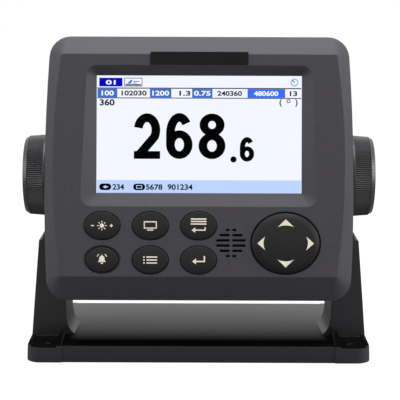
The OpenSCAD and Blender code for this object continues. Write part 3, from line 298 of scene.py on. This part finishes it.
def smoothing(angle_deg):
    """Modifier group that joins a node's split corners and smooths what is flatter than the angle."""
    group = bpy.data.node_groups.new("smooth_under_angle", "GeometryNodeTree")
    group.interface.new_socket("Geometry", in_out="INPUT", socket_type="NodeSocketGeometry")
    group.interface.new_socket("Geometry", in_out="OUTPUT", socket_type="NodeSocketGeometry")
    n = group.nodes
    start = n.new("NodeGroupInput")
    end = n.new("NodeGroupOutput")
    merge = n.new("GeometryNodeMergeByDistance")
    merge.inputs["Distance"].default_value = 0.002 * MM
    faces = n.new("GeometryNodeSetShadeSmooth")
    edges = n.new("GeometryNodeSetShadeSmooth")
    edges.domain = "EDGE"
    edges.inputs["Shade Smooth"].default_value = False
    bend = n.new("GeometryNodeInputMeshEdgeAngle")
    sharp = n.new("FunctionNodeCompare")
    sharp.operation = "GREATER_THAN"
    sharp.inputs["B"].default_value = math.radians(angle_deg)
    links = group.links
    links.new(start.outputs[0], merge.inputs["Geometry"])
    links.new(merge.outputs["Geometry"], faces.inputs["Geometry"])
    links.new(faces.outputs["Geometry"], edges.inputs["Geometry"])
    links.new(bend.outputs["Unsigned Angle"], sharp.inputs["A"])
    links.new(sharp.outputs["Result"], edges.inputs["Selection"])
    links.new(edges.outputs["Geometry"], end.inputs[0])
    return group


smooth_group = smoothing(20)
rounded_group = smoothing(40)
ROUNDED = [n for n in nodes if n.endswith("_key")] + ["cursor_pad"]

slot_of = {part["node"]: part["material_slot"] for part in frame["record"]["subparts"]}
for name, obj in nodes.items():
    obj.data.materials.clear()
    obj.data.materials.append(SLOT_MATERIALS[slot_of[name]])
    smooth = obj.modifiers.new("smooth", "NODES")
    smooth.node_group = rounded_group if name in ROUNDED else smooth_group


# Camera, at the photograph's place: square to the screen, 0.62 m before it

CAMERA_PLACE = HINGE + Vector((0.0005, -0.64715, 0.10185))
CAMERA_ROLL = math.radians(0.2)
FOCAL_PX = 1340
FRAME_PX = 400
camera_data = bpy.data.cameras.new("camera")
camera_data.sensor_width = 36
camera_data.lens = camera_data.sensor_width * FOCAL_PX / FRAME_PX
camera = bpy.data.objects.new("camera", camera_data)
bpy.context.scene.collection.objects.link(camera)
camera.matrix_world = (Matrix.Translation(CAMERA_PLACE)
                       @ Matrix.Rotation(math.radians(90) - LEAN, 4, "X")
                       @ Matrix.Rotation(CAMERA_ROLL, 4, "Z"))
bpy.context.scene.camera = camera
bpy.context.scene.view_settings.view_transform = "Standard"


# Floor, backdrop and light

FLOOR_HALF = 3.0
FLOOR_DROP = 0.02 * MM
FLOOR_WHITE = 1.4
FLOOR_WHITE_SHARE = 0.7


def floor_material():
    """Pale floor that looks white to the camera and keeps a soft shadow."""
    made = Shader("floor", (0.25, 0.25, 0.25, 1), 0.9, specular=0.1)
    out = made.tree.nodes["Material Output"]
    path = made.node("ShaderNodeLightPath")
    white = made.node("ShaderNodeEmission")
    mix = made.node("ShaderNodeMixShader")
    share = made.node("ShaderNodeMath", operation="MULTIPLY")
    share.inputs[1].default_value = FLOOR_WHITE_SHARE
    white.inputs["Strength"].default_value = FLOOR_WHITE
    made.link(path.outputs["Is Camera Ray"], share.inputs[0])
    made.link(share.outputs["Value"], mix.inputs["Fac"])
    made.link(made.bsdf.outputs["BSDF"], mix.inputs[1])
    made.link(white.outputs["Emission"], mix.inputs[2])
    made.link(mix.outputs["Shader"], out.inputs["Surface"])
    return made.mat


def add_floor():
    corners = [(x * FLOOR_HALF, y * FLOOR_HALF, 0) for x, y in ((-1, -1), (1, -1), (1, 1), (-1, 1))]
    mesh = bpy.data.meshes.new("floor")
    mesh.from_pydata(corners, [], [(0, 1, 2, 3)])
    floor = bpy.data.objects.new("floor", mesh)
    bpy.context.scene.collection.objects.link(floor)
    floor.location.z = -FLOOR_DROP
    mesh.materials.append(floor_material())


def add_world(level):
    """Even light, with a white backdrop for what the camera, metal and glass see."""
    world = bpy.data.worlds.new("studio")
    bpy.context.scene.world = world
    world.use_nodes = True
    tree = world.node_tree
    background = tree.nodes["Background"]
    background.inputs["Color"].default_value = (1, 1, 1, 1)
    path = tree.nodes.new("ShaderNodeLightPath")
    seen, seen_or = (tree.nodes.new("ShaderNodeMath") for _ in range(2))
    seen.operation = seen_or.operation = "MAXIMUM"
    strength = tree.nodes.new("ShaderNodeMapRange")
    strength.inputs["To Min"].default_value = level
    strength.inputs["To Max"].default_value = 1.0
    tree.links.new(path.outputs["Is Camera Ray"], seen.inputs[0])
    tree.links.new(path.outputs["Is Glossy Ray"], seen.inputs[1])
    tree.links.new(seen.outputs["Value"], seen_or.inputs[0])
    tree.links.new(path.outputs["Is Transmission Ray"], seen_or.inputs[1])
    tree.links.new(seen_or.outputs["Value"], strength.inputs["Value"])
    tree.links.new(strength.outputs["Result"], background.inputs["Strength"])


def add_light(name, place, aim, size, power):
    data = bpy.data.lights.new(name, "AREA")
    data.shape = "RECTANGLE"
    data.size = size[0]
    data.size_y = size[1]
    data.energy = power
    lamp = bpy.data.objects.new(name, data)
    lamp.location = place
    lamp.rotation_euler = (Vector(aim) - Vector(place)).to_track_quat("-Z", "Y").to_euler()
    bpy.context.scene.collection.objects.link(lamp)


add_floor()
add_world(0.06)
UNIT = (0, 0, 0.08)
LIGHTS = (("top_softbox", (0, -0.1, 1.1), UNIT, (1.2, 0.9), 18.0),
          ("front_fill", (-0.25, -1.5, 0.75), UNIT, (1.2, 0.8), 1.7),
          ("left_strip", (-1.3, -0.35, 0.35), (0, 0, 0.09), (0.5, 1.0), 9.0),
          ("right_strip", (1.3, -0.35, 0.35), (0, 0, 0.09), (0.5, 1.0), 16.0))
for light in LIGHTS:
    add_light(*light)


# Flat shapes, each a list of points with a list of faces, in millimetres or screen dots

def outline_shape(outer, holes=()):
    """Filled outline with holes."""
    loops = [[Vector((x, y, 0)) for x, y in loop] for loop in (outer, *holes)]
    points = [(v.x, v.y) for loop in loops for v in loop]
    return points, [tuple(t) for t in tessellate_polygon(loops)]


def rect(x0, y0, x1, y1):
    return outline_shape([(x0, y0), (x1, y0), (x1, y1), (x0, y1)])


def arc(cx, cy, rx, ry, start, end, steps=16):
    """Points along an ellipse between two angles in degrees."""
    return [(cx + rx * math.cos(math.radians(start + (end - start) * i / steps)),
             cy + ry * math.sin(math.radians(start + (end - start) * i / steps))) for i in range(steps + 1)]


def disc(cx, cy, rx, ry=None):
    return outline_shape(arc(cx, cy, rx, ry or rx, 0, 360, 32)[:-1])


def ring(cx, cy, rx, ry, wall_x, wall_y=None):
    inner = arc(cx, cy, rx - wall_x, ry - (wall_y or wall_x), 0, 360, 32)[:-1]
    return outline_shape(arc(cx, cy, rx, ry, 0, 360, 32)[:-1], [inner])


def pill(x0, y0, x1, y1):
    r = (y1 - y0) / 2
    return outline_shape(arc(x1 - r, y0 + r, r, r, -90, 90) + arc(x0 + r, y0 + r, r, r, 90, 270))


def frame_of(x0, y0, x1, y1, line):
    return outline_shape([(x0, y0), (x1, y0), (x1, y1), (x0, y1)],
                         [[(x0 + line, y0 + line), (x1 - line, y0 + line), (x1 - line, y1 - line),
                           (x0 + line, y1 - line)]])


def stroke(points, width):
    """Line of that width through the points, with square ends and mitred corners."""
    left, right = [], []
    for i, p in enumerate(points):
        before = Vector(points[max(i - 1, 0)])
        after = Vector(points[min(i + 1, len(points) - 1)])
        here = Vector(p)
        d0 = (here - before).normalized() if i else (after - here).normalized()
        d1 = (after - here).normalized() if i < len(points) - 1 else d0
        across = Vector((-(d0 + d1).y, (d0 + d1).x)).normalized()
        reach = width / 2 / max(0.4, across.dot(Vector((-d0.y, d0.x))))
        left.append(tuple(here + across * reach))
        right.append(tuple(here - across * reach))
    return outline_shape(left + right[::-1])


def text_shape(value, x0, y0, x1, y1, weight=0.0):
    """Characters of the built-in font, fitted into a box whose lower left corner comes first."""
    curve = bpy.data.curves.new("text", "FONT")
    curve.body = value
    curve.offset = weight
    curve.resolution_u = 6
    holder = bpy.data.objects.new("text", curve)
    mesh = holder.to_mesh()
    bm = bmesh.new()
    bm.from_mesh(mesh)
    bmesh.ops.remove_doubles(bm, verts=bm.verts, dist=1e-5)
    points = [(v.co.x, v.co.y) for v in bm.verts]
    faces = [tuple(v.index for v in f.verts) for f in bm.faces]
    bm.free()
    holder.to_mesh_clear()
    bpy.data.objects.remove(holder)
    bpy.data.curves.remove(curve)
    low = [min(q[i] for q in points) for i in (0, 1)]
    high = [max(q[i] for q in points) for i in (0, 1)]
    return [(x0 + (x - low[0]) * (x1 - x0) / (high[0] - low[0]),
             y0 + (y - low[1]) * (y1 - y0) / (high[1] - low[1])) for x, y in points], faces


def moved(shape, dx, dy, scale=1.0):
    points, faces = shape
    return [(x * scale + dx, y * scale + dy) for x, y in points], faces


def add_piece(name, bm, material, body):
    bmesh.ops.recalc_face_normals(bm, faces=bm.faces)
    mesh = bpy.data.meshes.new(name)
    bm.to_mesh(mesh)
    bm.free()
    mesh.materials.append(material)
    piece = bpy.data.objects.new(name, mesh)
    bpy.context.scene.collection.objects.link(piece)
    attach(piece, body)
    return piece


def add_prints(name, shapes, bottom, top, material, body):
    """Thin closed prisms over flat shapes, between two heights that are functions of the place."""
    bm = bmesh.new()
    for points, faces in shapes:
        low = [bm.verts.new(on_face(x, y, bottom(x, y))) for x, y in points]
        high = [bm.verts.new(on_face(x, y, top(x, y))) for x, y in points]
        uses = {}
        for face in faces:
            bm.faces.new([high[i] for i in face])
            bm.faces.new([low[i] for i in reversed(face)])
            for a, b in zip(face, face[1:] + face[:1]):
                uses.setdefault(frozenset((a, b)), []).append((a, b))
        for sides in uses.values():
            if len(sides) == 1:
                a, b = sides[0]
                bm.faces.new([low[a], low[b], high[b], high[a]])
    return add_piece(name, bm, material, body)


# Picture on the screen, in dots from its upper left corner

SCREEN_DOTS = 480
DOT = SCREEN_W / SCREEN_DOTS


def on_screen(shape):
    points, faces = shape
    return [(x * DOT - SCREEN_W / 2, SCREEN_TOP - y * DOT) for x, y in points], faces


LAYER_GAP, LAYER_STEP, LAYER_T = 0.03, 0.05, 0.02


def add_screen_layer(name, shapes, layer, material):
    height = CELL_FRONT_Z + LAYER_GAP + LAYER_STEP * layer
    add_prints(name, [on_screen(shape) for shape in shapes], lambda x, y: height,
               lambda x, y: height + LAYER_T, material, "display_unit")


def screen_text(value, x0, y0, x1, y1, weight=0.03):
    """Text between two heights that are counted down the screen."""
    return text_shape(value, x0, y1, x1, y0, weight)


def row_of_texts(top, bottom, texts):
    return [screen_text(value, x0, top, x1, bottom) for value, x0, x1 in texts]


ROW_TOP, ROW_BOTTOM = 29.6, 50.0
TEXT_TOP, TEXT_BOTTOM = 34.0, 45.8
FOOT_TOP, FOOT_BOTTOM = 254, 267.6
PILL_TOP, PILL_BOTTOM = 252.8, 268.4
CLOCK_X, CLOCK_Y = 464, 13.8
BLUE_CELLS = ((0.6, 47), (123.8, 174.2), (223.2, 271))

add_screen_layer("screen_blue_cells", [rect(x0, ROW_TOP, x1, ROW_BOTTOM) for x0, x1 in BLUE_CELLS], 0,
                 screen_blue)
add_screen_layer("screen_bright_cell", [rect(353.6, ROW_TOP, 442, ROW_BOTTOM)], 0,
                 lit("screen_bright", linear(56, 112, 248), 1.05))
add_screen_layer("screen_rules", [rect(0, 26.8, SCREEN_DOTS, 29.4), rect(0, 50.2, SCREEN_DOTS, 52.4),
                                  frame_of(63.4, 3.8, 106, 24.2, 1.6)], 0, screen_line)
add_screen_layer("screen_tag", [rect(4.4, 4, 59.2, 24.4)], 0, screen_deep)
add_screen_layer("screen_bar", [rect(0, 244.4, SCREEN_DOTS, 276)], 0, screen_bar)
add_screen_layer("screen_tag_text", [screen_text("01", 20, 9.4, 43, 20.2)] + row_of_texts(
    TEXT_TOP, TEXT_BOTTOM, (("100", 10, 39), ("1200", 129.5, 169), ("0.75", 227.5, 266.5),
                            ("480600", 368, 426))), 2, screen_pale)
add_screen_layer("screen_ink_text", row_of_texts(
    TEXT_TOP, TEXT_BOTTOM, (("102030", 57, 116), ("1.3", 193, 219), ("240360", 282.5, 340.5),
                            ("13", 453, 470.3)))
    + [screen_text("360", 5.6, 54, 40.7, 69.4), screen_text("(", 428.7, 53, 434.5, 71),
       screen_text(")", 465.5, 53, 471.3, 71), ring(450, 57.5, 4.6, 4.6, 1.8)]
    + row_of_texts(FOOT_TOP, FOOT_BOTTOM, (("234", 36.5, 64), ("5678", 115, 154), ("901234", 166, 225)))
    + [pill(x, PILL_TOP, x + 28.4, PILL_BOTTOM) for x in (5.2, 85)], 1, screen_ink)
add_screen_layer("screen_pill_marks", [
    outline_shape([(14, 260.6), (21, 256.4), (21, 264.8)]), rect(20.8, 259.4, 26.5, 261.8),
    frame_of(92.5, 256.4, 106, 264.8, 1.5)], 2, screen_bar)
add_screen_layer("screen_antenna_mark", [
    outline_shape([(70, 17.6), (80, 8), (82.6, 9.6), (78.6, 17.6)]), rect(84, 11.5, 99, 13.4),
    rect(84, 15.4, 93, 17.3)], 1, screen_blue)
add_screen_layer("screen_mark_band", [rect(66.4, 19, 103, 22)], 1, screen_ink)
add_screen_layer("screen_clock", [ring(CLOCK_X, CLOCK_Y, 9.2, 9.2, 2.6)], 1,
                 lit("screen_ring", linear(140, 178, 240), 1.05))
add_screen_layer("screen_clock_hand", [stroke([(CLOCK_X, CLOCK_Y), (459.2, 8.4)], 2.2)], 2, screen_line)


def drawn_digit(digit, x0, y0, x1, y1, wall):
    """Bold 2, 6 or 8 in a box whose heights are counted down the screen."""
    w, h, mid = x1 - x0, y1 - y0, (x1 - x0) / 2
    reach = mid - wall / 2
    if digit == "2":
        bow = 0.27 * h
        curve = arc(mid, h - wall / 2 - bow, reach, bow, 170, -35, 24) + [(wall * 0.6, wall * 0.45)]
        shapes = [stroke(curve, wall), rect(0, 0, w, wall * 0.9)]
    elif digit == "6":
        bowl = 0.315 * h
        shapes = [ring(mid, bowl, mid, bowl, wall, wall * 0.9),
                  stroke([(wall / 2, bowl)] + arc(mid, 0.56 * h, reach, 0.44 * h - wall * 0.45, 180, 38, 24),
                         wall)]
    else:
        low, high = 0.29 * h, 0.25 * h
        shapes = [ring(mid, low, mid, low, wall, wall * 0.85),
                  ring(mid, h - high, mid * 0.93, high, wall, wall * 0.85)]
    return [([(x0 + x, y1 - y) for x, y in points], faces) for points, faces in shapes]


HEADING = (("2", 86.4, 148.4), ("6", 162.2, 224.6), ("8", 238.6, 302.0))
HEADING_TOP, HEADING_BOTTOM, HEADING_WALL = 87.4, 194.6, 20.5
add_screen_layer("screen_heading", [shape for digit, x0, x1 in HEADING
                                    for shape in drawn_digit(digit, x0, HEADING_TOP, x1, HEADING_BOTTOM,
                                                             HEADING_WALL)]
                 + drawn_digit("6", 335.8, 143, 369.6, 200.2, 12) + [disc(321, 195.2, 7.4)], 1, screen_ink)


# Prints on the keys and the pad, draped on their faces

def face_height(node):
    """Function that gives a node's foremost height at a place on the face."""
    mesh = nodes[node].data
    back = TO_FRAME.inverted()
    corners = [back @ v.co / MM for v in mesh.vertices]
    tree = BVHTree.FromPolygons(corners, [tuple(f.vertices) for f in mesh.polygons])

    def height(x, y):
        hit = tree.ray_cast(Vector((x, y, 100)), Vector((0, 0, -1)))[0]
        return hit.z
    return height


def cut_fine(shape, step=0.8):
    """The same shape cut along a grid, so that it can follow a curved face."""
    points, faces = shape
    bm = bmesh.new()
    verts = [bm.verts.new((x, y, 0)) for x, y in points]
    for face in faces:
        bm.faces.new([verts[i] for i in face])
    for axis, normal in enumerate(((1, 0, 0), (0, 1, 0))):
        low = min(q[axis] for q in points)
        high = max(q[axis] for q in points)
        for k in range(math.ceil(low / step), math.floor(high / step) + 1):
            bmesh.ops.bisect_plane(bm, geom=bm.verts[:] + bm.edges[:] + bm.faces[:],
                                   plane_co=Vector(normal) * k * step, plane_no=normal)
    bmesh.ops.triangulate(bm, faces=bm.faces[:])
    bmesh.ops.delete(bm, geom=[v for v in bm.verts if not v.link_faces], context="VERTS")
    bm.verts.index_update()
    cut = [(v.co.x, v.co.y) for v in bm.verts], [tuple(v.index for v in f.verts) for f in bm.faces]
    bm.free()
    return cut


PRINT_SINK, PRINT_RISE = 0.08, 0.03


def add_key_print(node, shapes):
    height = face_height(node)
    shapes = [cut_fine(shape) for shape in shapes]
    add_prints(node + "_print", shapes, lambda x, y: height(x, y) - PRINT_SINK,
               lambda x, y: height(x, y) + PRINT_RISE, cream, node)


def at_key(column, row, shapes, scale=1.0):
    return [moved(shape, KEY_X[column], KEY_Y[row], scale) for shape in shapes]


def sun():
    near, far = 1.45, 2.15
    rays = [stroke([(near * math.cos(a), near * math.sin(a)), (far * math.cos(a), far * math.sin(a))], 0.42)
            for a in (math.radians(45 * i) for i in range(8))]
    minus = [rect(-5.0, -0.25, -3.6, 0.25)]
    plus = [rect(3.6, -0.25, 5.0, 0.25), rect(4.05, 0.25, 4.55, 0.7), rect(4.05, -0.7, 4.55, -0.25)]
    return [disc(0, 0, 1.0)] + minus + plus + rays


def display_mark():
    return [frame_of(-3.0, -1.3, 3.0, 2.1, 0.5), rect(-1.5, -2.2, 1.5, -1.7)]


def menu_mark():
    bars = [rect(-3.6, y - 0.3, 3.6, y + 0.3) for y in (3.2, 2.05, 0.9)]
    return bars + [outline_shape([(-3.3, -1.9), (-1.5, -0.6), (-1.5, -3.2)]),
                   stroke([(-1.55, -1.9), (3.0, -1.9), (3.0, -0.5)], 0.55)]


def bell():
    body = [(-2.1, -1.1), (2.1, -1.1), (1.5, -0.3)] + arc(0, 0.7, 1.35, 1.35, 0, 180) + [(-1.5, -0.3)]
    return [outline_shape(body), outline_shape(arc(0, -1.4, 0.7, 0.7, 180, 360)), rect(-0.25, 2.1, 0.25, 2.6),
            stroke(arc(0, 0.7, 2.6, 2.6, 20, 55, 6), 0.4), stroke(arc(0, 0.7, 2.6, 2.6, 125, 160, 6), 0.4)]


def list_mark():
    return [shape for y in (1.35, 0, -1.35) for shape in (rect(-3.2, y - 0.32, -2.5, y + 0.32),
                                                          rect(-1.7, y - 0.3, 3.2, y + 0.3))]


def enter_mark():
    return [outline_shape([(-3.0, -0.6), (-1.1, 0.8), (-1.1, -2.0)]),
            stroke([(-1.2, -0.6), (2.7, -0.6), (2.7, 1.9)], 0.65)]


add_key_print("brightness_key", at_key(0, 0, sun()))
add_key_print("display_key", at_key(1, 0, display_mark()))
add_key_print("menu_key", at_key(2, 0, menu_mark()))
add_key_print("acknowledge_key", at_key(0, 1, bell(), 0.9))
add_key_print("list_key", at_key(1, 1, list_mark()))
add_key_print("enter_key", at_key(2, 1, enter_mark()))


def arrowhead(turn, half_w):
    """Arrowhead with a hollow base, pointing up before it is turned."""
    tip, hollow, steps = 1.8, 0.8, 10
    shares = [2 * i / steps - 1 for i in range(steps + 1)]
    points = [(0, tip)] + [(half_w * t, hollow * (1 - t * t) - tip) for t in shares]
    c, s = math.cos(turn), math.sin(turn)
    return outline_shape([(x * c - y * s, x * s + y * c) for x, y in points])


def pad_arrows():
    out_x, out_y = 11.2, 9.25
    half_up, half_side = 3.75, 3.15
    places = ((0, out_y, 0, half_up), (-out_x, 0, 90, half_side), (0, -out_y, 180, half_up),
              (out_x, 0, 270, half_side))
    return [moved(arrowhead(math.radians(turn), half_w), PAD_X + x, PAD_Y + y)
            for x, y, turn, half_w in places]


add_key_print("cursor_pad", pad_arrows())


# Threads of the sockets and the earth stud

THREAD_STEPS = 40
THREAD_ROOT = -0.15
THREAD_HALF_SHARE = 0.42


def add_thread(name, x, radius, depth, pitch, z0, z1, material):
    """Closed helical ridge round an axis that stands square to the face."""
    total = int((z1 - z0 - pitch) / pitch * THREAD_STEPS)
    profile = ((THREAD_ROOT, -THREAD_HALF_SHARE), (depth, 0.0), (THREAD_ROOT, THREAD_HALF_SHARE))
    bm = bmesh.new()
    rings = []
    for i in range(total + 1):
        angle = 2 * math.pi * i / THREAD_STEPS
        fade = min(1, i / THREAD_STEPS * 2, (total - i) / THREAD_STEPS * 2)
        z = z0 + pitch / 2 + pitch * i / THREAD_STEPS
        corners = [(radius + (dr if dr < 0 else dr * fade), z + dz * pitch) for dr, dz in profile]
        rings.append([bm.verts.new(on_face(x + r * math.cos(angle), SOCKET_Y + r * math.sin(angle), height))
                      for r, height in corners])
    for a, b in zip(rings, rings[1:]):
        for k in range(3):
            bm.faces.new([a[k], a[(k + 1) % 3], b[(k + 1) % 3], b[k]])
    bm.faces.new(rings[0])
    bm.faces.new(rings[-1][::-1])
    add_piece(name, bm, material, "display_unit")


for name, x in (("power_socket_thread", -SOCKET_X), ("antenna_socket_thread", SOCKET_X)):
    add_thread(name, x, 8.5, 0.35, 1.0, -41, -30, steel)
add_thread("earth_stud_thread", 0, 2.0, 0.2, 0.7, -36, -31.1, brass)
